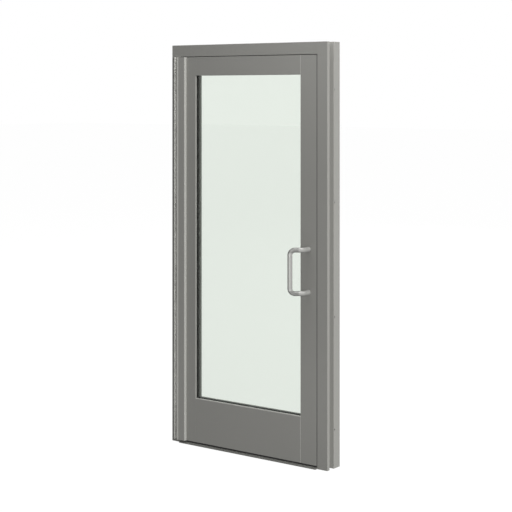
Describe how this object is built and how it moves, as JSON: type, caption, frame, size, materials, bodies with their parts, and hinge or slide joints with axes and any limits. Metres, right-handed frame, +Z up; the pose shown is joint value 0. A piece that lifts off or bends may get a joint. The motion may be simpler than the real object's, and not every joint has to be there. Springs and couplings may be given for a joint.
{
  "type": "glass door with frame",
  "caption": "Single outward-swinging glass door in a grey aluminium storefront frame, full-height hinge and offset bar pull.",
  "frame": {"origin": "on the floor, midway across the frame's width and depth", "axes": "+X from hinge jamb to lock jamb, +Y from the pull side to the back, +Z up"},
  "size_m": [1.0414, 0.2179, 2.1971],
  "materials": {
    "frame_paint": "satin",
    "black_rubber": "matte",
    "clear_glass": "clear",
    "spacer_black": "matte",
    "pull_steel": "satin",
    "fastener_steel": "plain",
    "mill_aluminium": "mill"
  },
  "bodies": {
    "frame": {"jamb_hinge": "frame_paint", "jamb_lock": "frame_paint", "head": "frame_paint", "stop_hinge": "frame_paint", "stop_lock": "frame_paint", "stop_head": "frame_paint", "seal_hinge": "black_rubber", "seal_lock": "black_rubber", "seal_head": "black_rubber", "threshold": "mill_aluminium", "head_clip_hinge": "mill_aluminium", "head_clip_lock": "mill_aluminium", "head_clip_screws": "fastener_steel", "hinge_leaf_frame": "frame_paint", "hinge_frame_screws": "fastener_steel", "hinge_pin": "fastener_steel"},
    "leaf": {"stile_hinge": "frame_paint", "stile_lock": "frame_paint", "rail_top": "frame_paint", "rail_bottom": "frame_paint", "bead_hinge": "frame_paint", "bead_lock": "frame_paint", "bead_top": "frame_paint", "bead_bottom": "frame_paint", "hinge_leaf_door": "frame_paint", "hinge_leaf_cover": "frame_paint", "gasket_outer": "black_rubber", "gasket_inner": "black_rubber", "bottom_sweep": "black_rubber", "edge_seal": "black_rubber", "setting_blocks": "black_rubber", "glass_outer": "clear_glass", "glass_inner": "clear_glass", "glass_spacer": "spacer_black", "pull_handle": "pull_steel", "tie_rod_top": "fastener_steel", "tie_rod_bottom": "fastener_steel", "tie_nuts": "fastener_steel", "pull_bolts": "fastener_steel", "pull_washers": "fastener_steel", "hinge_door_screws": "fastener_steel"}
  },
  "joints": [
    {"name": "door_swing", "type": "hinge", "parent": "frame", "child": "leaf", "pos_m": [-0.4952, -0.06565, 0], "axis": [0, 0, -1], "range_deg": [0, 100]}
  ]
}
